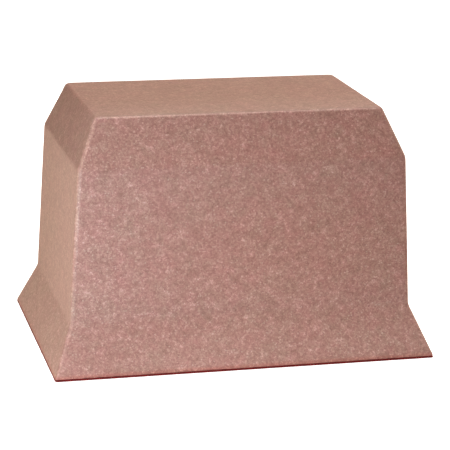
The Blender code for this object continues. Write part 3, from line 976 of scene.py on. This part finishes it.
def threaded_plug(material):
    """The moulded plug: a dished head with a ribbed grip bar, a grooved rim, a neck and a rounded thread."""
    low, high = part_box("screw_plug")
    dish_top, head_top = high.z - PLUG_TOP_THICKNESS, low.z + HEAD_THICKNESS
    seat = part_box("closure_collar")[0].z + SEAT_DEPTH
    corners = [(0, dish_top, 0), (DISH_RADIUS, dish_top, 1.5 * MM), (DISH_RADIUS, low.z, 0.8 * MM)]
    corners += groove(PLUG_GROOVE_RADIUS, low.z)
    corners += [
        (high.x, low.z, 0.6 * MM),
        (high.x, head_top, 0.3 * MM),
        (NECK_RADIUS, head_top, 0.2 * MM),
        (CORE_RADIUS, seat, 0.4 * MM),
        (CORE_RADIUS, high.z, 1.2 * MM),
        (0, high.z, 0),
    ]
    path = divided_wall(rounded_path(path_points(corners), segments=5), CORE_RADIUS, THREAD_STEP)
    ridge = thread(CORE_RADIUS, CORE_RIDGE_HEIGHT, THREAD_START, PLUG_THREAD_END, 0)
    plug = turned("threaded_plug", path, material, closed=False, ridge=ridge)
    combine(plug, grip_bar(low.z + GRIP_SETBACK, dish_top + MM), "UNION")
    even_shading(plug)
    stands_for(plug, "plug", "screw_plug")


def sealing_ring(material):
    """The plug's O-ring, with the faint seam that its mould leaves round the inside and the outside."""
    low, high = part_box("plug_o_ring")
    radius = RING_THICKNESS / 2
    middle = Vector((high.x - radius, 0, (low.z + high.z) / 2))
    path = []
    for index in range(RING_SEGMENTS):
        angle = math.tau * index / RING_SEGMENTS
        size = radius if index % (RING_SEGMENTS // 2) == 0 else radius - RING_SEAM
        path.append(middle + size * Vector((math.cos(angle), 0, math.sin(angle))))
    ring = turned("sealing_ring", path, material)
    stands_for(ring, "plug_seal", "plug_o_ring")


def felt_sheet(material):
    """The felt, cut out round the collar: a matted surface, a soft edge and a slightly uneven cut."""
    low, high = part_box("felt_pad")
    thickness = high.z - low.z
    edge = space_points((
        (high.x - thickness, high.y - thickness, low.z, 0),
        (high.x, high.y, low.z, FELT_EDGE_RADIUS),
        (high.x, high.y, high.z, FELT_EDGE_RADIUS),
        (high.x - thickness, high.y - thickness, high.z, 0),
    ))
    outer = [
        rounded_rectangle(*level, BASE_CORNER_RADIUS, STONE_CORNER_SEGMENTS, FELT_STEP)
        for level in rounded_path(edge, segments=3)
    ]
    shares = [index / FELT_RINGS for index in range(FELT_RINGS)]
    radii = [FELT_HOLE_RADIUS + FELT_EDGE_RADIUS / 2] + [FELT_HOLE_RADIUS] * (FELT_RINGS - 1)
    inward_rings = list(zip(radii, shares))
    loops = [between(outer[0], radius, share, low.z) for radius, share in inward_rings]
    loops += outer
    loops += [between(outer[-1], radius, share, high.z) for radius, share in reversed(inward_rings)]
    loops.append(between(outer[0], FELT_HOLE_RADIUS, 0, high.z - FELT_EDGE_RADIUS / 2))
    loops.append(between(outer[0], FELT_HOLE_RADIUS, 0, low.z + FELT_EDGE_RADIUS / 2))
    shape = bmesh.new()
    for ring in skin(shape, loops, closed=True):
        for vertex in ring:
            lumps = noise.noise(vertex.co / FELT_LUMP_LENGTH)
            tufts = noise.noise(vertex.co / FELT_TUFT_LENGTH)
            inward = FELT_MATTING * (0.5 + (lumps + tufts) / 4)
            vertex.co.z += inward if vertex.co.z < thickness / 2 else -inward
            flat_place = Vector((vertex.co.x, vertex.co.y, 0))
            wander = FELT_CUT_WANDER * (0.5 + noise.noise(flat_place / FELT_CUT_LENGTH) / 2)
            if abs(flat_place.x) > high.x * FELT_CUT_ZONE:
                vertex.co.x -= math.copysign(wander, flat_place.x)
            if abs(flat_place.y) > high.y * FELT_CUT_ZONE:
                vertex.co.y -= math.copysign(wander, flat_place.y)
    sheet = new_object("felt_sheet", shape, material)
    stands_for(sheet, "urn", "felt_pad")


stone_shell(polished_stone())
plate_slab(raw_stone())
sealant_ring(sealant())
rubber = seal_rubber()
threaded_collar(moulded_plastic(
    "collar plastic", (0.030, 0.029, 0.029), (0.050, 0.048, 0.047), grain_depth=0.03 * MM, roughness=0.50,
))
flange_gasket(rubber)
collar_screws(screw_steel())
threaded_plug(moulded_plastic(
    "plug plastic", (0.022, 0.021, 0.021), (0.036, 0.034, 0.034), grain_depth=0.02 * MM, roughness=0.40,
))
sealing_ring(rubber)
felt_sheet(felt())


# ---------------------------------------------------------------- stage, light and camera


def floor_sheet(name, height, material):
    """A sheet of floor that runs far past the view and doesn't show in reflections."""
    shape = bmesh.new()
    bmesh.ops.create_grid(shape, x_segments=2, y_segments=2, size=FLOOR_REACH)
    floor = new_object(name, shape, material)
    floor.location.z = height
    floor.visible_glossy = False
    return floor


def stage_floor():
    """A plain pale floor. The camera sees one sheet, and the object is lit by another just below it."""
    n = Nodes("pale floor")
    tone = n.noise(0.5, detail=2.0)
    seen = floor_sheet("pale_floor", SEEN_FLOOR_HEIGHT, n.finish(
        base_color=n.mix(tone, (0.90, 0.90, 0.90), (0.93, 0.93, 0.93)),
        roughness=0.9,
        emission_color=(1.0, 1.0, 1.0),
        emission_strength=1.0,
    ))
    seen.visible_diffuse = False
    seen.visible_shadow = False
    n = Nodes("floor bounce")
    lighting = floor_sheet("floor_bounce", BOUNCE_FLOOR_HEIGHT, n.finish(
        base_color=(0.915, 0.915, 0.915),
        roughness=0.9,
        emission_color=(1.0, 1.0, 1.0),
        emission_strength=0.15,
    ))
    lighting.visible_camera = False


def white_backdrop():
    """A white dome that only the camera sees, so that low views don't look past the floor."""
    shape = bmesh.new()
    bmesh.ops.create_uvsphere(shape, u_segments=48, v_segments=24, radius=BACKDROP_RADIUS)
    n = Nodes("white backdrop")
    dome = new_object("white_backdrop", shape, n.finish(
        base_color=(0, 0, 0),
        emission_color=(1.0, 1.0, 1.0),
        emission_strength=1.0,
    ))
    dome.visible_diffuse = False
    dome.visible_glossy = False
    dome.visible_shadow = False


def area_light(name, place, aim, size, power, colour, shine=True, spread=math.pi):
    """A softbox that faces a point. It doesn't show itself, and without shine not in reflections either."""
    light = bpy.data.lights.new(name, "AREA")
    light.shape = "RECTANGLE"
    light.size, light.size_y = size if isinstance(size, tuple) else (size, size)
    light.spread = spread
    light.energy = power
    light.color = colour
    made = bpy.data.objects.new(name, light)
    bpy.context.scene.collection.objects.link(made)
    made.location = place
    made.rotation_euler = (Vector(aim) - Vector(place)).to_track_quat("-Z", "Y").to_euler()
    made.visible_camera = False
    made.visible_glossy = shine


def around(azimuth, elevation, distance):
    """A place given by its direction from the object. Azimuth 0 is in front, and 90 is to the right."""
    a, e = math.radians(azimuth), math.radians(elevation)
    return Vector((math.sin(a) * math.cos(e), -math.cos(a) * math.cos(e), math.sin(e))) * distance


def reflected_card(name, place, aim, size, colour, strength):
    """A glowing card that only shows in reflections, as the walls and tables of a pale studio do."""
    shape = bmesh.new()
    bmesh.ops.create_grid(shape, x_segments=1, y_segments=1, size=0.5)
    n = Nodes(name)
    material = n.finish(base_color=(0, 0, 0), emission_color=colour, emission_strength=strength)
    made = new_object(name, shape, material)
    made.scale = (*size, 1)
    made.location = place
    made.rotation_euler = (Vector(aim) - Vector(place)).to_track_quat("Z", "Y").to_euler()
    made.visible_camera = False
    made.visible_diffuse = False
    made.visible_shadow = False


def studio_light():
    """A near key from the front left, fills all round, cards for the reflections, and a dim room.

    The last three lights have a narrow spread, and each lights one zone: the front edge of the top, the flare
    of the front, and the wall of the front.
    """
    middle = (0, 0, 80 * MM)
    low_middle = (0, 0, 50 * MM)
    area_light("key", around(-42, 4, 0.52), low_middle, 0.25, 3.15, (0.759, 0.933, 1.0), shine=False)
    area_light("side strip", around(-84, 4, 0.9), middle, 0.3, 1.25, (0.740, 1.0, 0.300))
    area_light("overhead", (0, 0.1, 1.6), middle, 1.4, 6.8, (1.0, 0.840, 0.720))
    area_light("top spot", (0, -0.05, 1.3), middle, 0.3, 5.80, (1.0, 0.927, 0.797))
    area_light("right fill", around(100, 20, 1.2), middle, 0.6, 2.4, (1.0, 0.900, 0.733))
    area_light("right low fill", around(95, 4, 0.9), middle, 0.3, 1.8, (1.0, 0.930, 0.850), shine=False)
    area_light("back fill", around(167, 35, 1.3), middle, 0.6, 0.30, (1.0, 0.960, 0.500))
    area_light("back low fill", around(180, 4, 0.9), middle, 0.4, 2.6, (1.0, 0.930, 0.850), shine=False)
    area_light(
        "edge strip", (0, 0.30, 0.62), (0, -0.060, 0.172), (0.24, 0.02), 0.010, (0.48, 0.92, 1.0),
        shine=False, spread=math.radians(8),
    )
    area_light(
        "flare fill", (0.09, -0.46, 0.16), (0.05, -0.09, 0.010), (0.24, 0.03), 0.0100, (0.64, 0.98, 1.0),
        shine=False, spread=math.radians(14),
    )
    area_light(
        "wall fill", (0.12, -0.55, 0.08), (0.03, -0.08, 0.075), (0.20, 0.06), 0.0095, (1.0, 0.53, 0.20),
        shine=False, spread=math.radians(26),
    )

    for name, x, size, colour, strength in (
        ("table card", -0.25, (1.3, 1.1), (1.0, 0.694, 0.513), 0.876),
        ("right table card", 0.98, (1.1, 1.3), (1.0, 0.875, 0.750), 0.8),
    ):
        reflected_card(name, (x, 0.45, TABLE_CARD_HEIGHT), (x, 0.45, 1), size, colour, strength)
    reflected_card("back card", around(167, 16, 1.6), middle, (1.4, 0.5), (1.0, 0.840, 0.680), 0.5)
    reflected_card("right card", around(125, 12, 1.4), middle, (1.6, 0.8), (1.0, 0.900, 0.800), 1.0)
    reflected_card("left card", around(-65, 38, 1.2), middle, (0.7, 0.5), (0.740, 0.916, 0.860), 2.7)
    reflected_card("ceiling card", (0, 0.3, 1.2), (0, 0.3, 0), (1.6, 1.4), (1.0, 0.960, 0.880), 2.5)

    world = bpy.data.worlds.new("studio")
    bpy.context.scene.world = world
    world.use_nodes = True
    background = world.node_tree.nodes["Background"]
    background.inputs["Color"].default_value = (0.15, 0.13, 0.10, 1.0)
    background.inputs["Strength"].default_value = 1.0


def camera():
    """The camera, at the angle that CAMERA_AZIMUTH and the other values give."""
    back = Vector((
        math.sin(CAMERA_AZIMUTH) * math.cos(CAMERA_ELEVATION),
        -math.cos(CAMERA_AZIMUTH) * math.cos(CAMERA_ELEVATION),
        math.sin(CAMERA_ELEVATION),
    ))
    data = bpy.data.cameras.new("camera")
    data.lens = CAMERA_LENS
    data.sensor_width = CAMERA_SENSOR
    made = bpy.data.objects.new("camera", data)
    bpy.context.scene.collection.objects.link(made)
    turn = back.to_track_quat("Z", "Y").to_matrix().to_4x4()
    roll = Matrix.Rotation(CAMERA_ROLL, 4, "Z")
    made.matrix_world = Matrix.Translation(CAMERA_TARGET + back * CAMERA_DISTANCE) @ turn @ roll
    bpy.context.scene.camera = made


stage_floor()
white_backdrop()
studio_light()
camera()
bpy.context.scene.view_settings.view_transform = "Standard"
bpy.context.scene.view_settings.look = "None"
